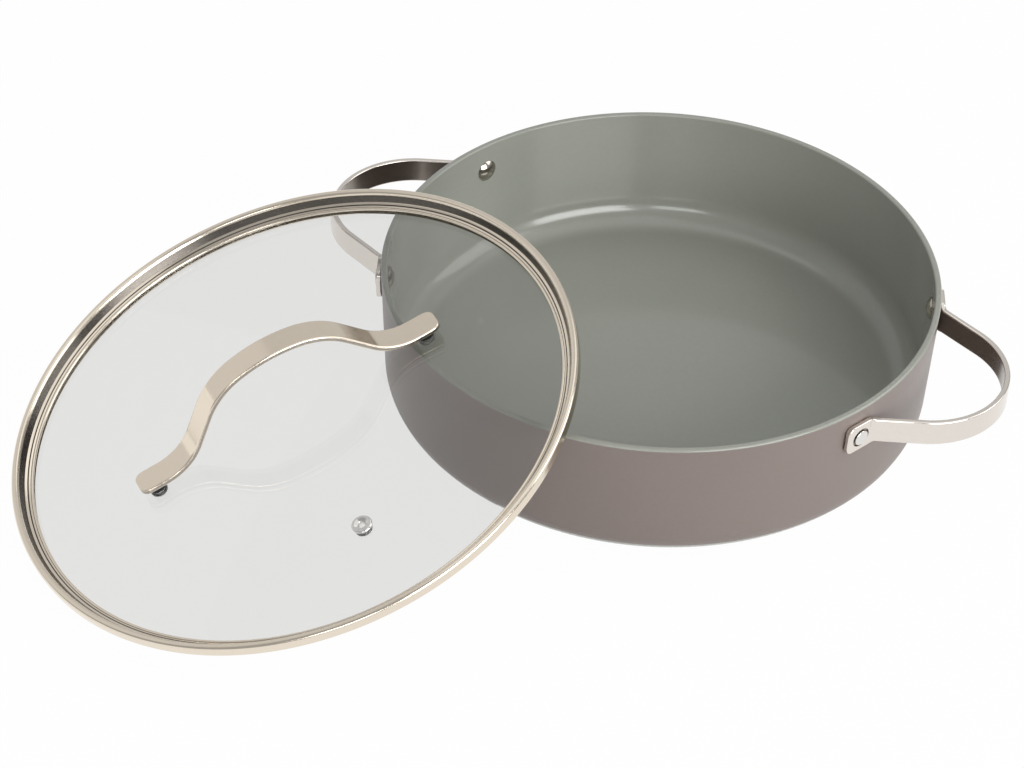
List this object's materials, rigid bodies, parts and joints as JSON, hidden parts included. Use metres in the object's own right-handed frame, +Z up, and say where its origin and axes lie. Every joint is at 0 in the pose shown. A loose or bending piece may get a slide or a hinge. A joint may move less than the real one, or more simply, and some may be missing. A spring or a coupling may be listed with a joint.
{
  "type": "shallow pot with lid",
  "caption": "Wide shallow pot with two riveted strap side handles and a steel-rimmed glass lid with an arched strap handle, leaning on the rim.",
  "frame": {"origin": "centre of the pot's underside, on the surface it stands on", "axes": "+Z up; +X towards the right side handle, so the side handles lie along X; -Y is the side where the lid leans"},
  "size_m": [0.4807, 0.48, 0.1107],
  "materials": {
    "coated_aluminium": "taupe enamel outside, grey-green ceramic non-stick inside",
    "brushed_plate": "brushed stainless steel",
    "champagne_steel": "polished stainless steel with a warm champagne tint",
    "polished_steel": "polished stainless steel",
    "clear_glass": "clear tempered glass",
    "black_silicone": "matte black silicone",
    "clear_silicone": "pale translucent silicone"
  },
  "bodies": {
    "pot": {"pot_body": "coated_aluminium", "induction_base_plate": "brushed_plate", "side_handle_left": "champagne_steel", "side_handle_right": "champagne_steel", "rivet_left_front": "polished_steel", "rivet_left_rear": "polished_steel", "rivet_right_front": "polished_steel", "rivet_right_rear": "polished_steel"},
    "lid": {"lid_glass": "clear_glass", "lid_rim_band": "champagne_steel", "lid_handle": "champagne_steel", "lid_handle_boss_upper": "polished_steel", "lid_handle_boss_lower": "polished_steel", "lid_handle_washer_upper": "black_silicone", "lid_handle_washer_lower": "black_silicone", "lid_seal_washer_upper": "clear_silicone", "lid_seal_washer_lower": "clear_silicone", "lid_plain_washer_upper": "polished_steel", "lid_plain_washer_lower": "polished_steel", "lid_screw_upper": "polished_steel", "lid_screw_lower": "polished_steel", "vent_eyelet": "polished_steel", "vent_washer": "clear_silicone"}
  },
  "joints": [
    {"name": "lid_lift_off", "type": "slide", "parent": "pot", "child": "lid", "axis": [-0.1929, -0.2645, 0.9449], "range_m": [0, 0.3]}
  ]
}
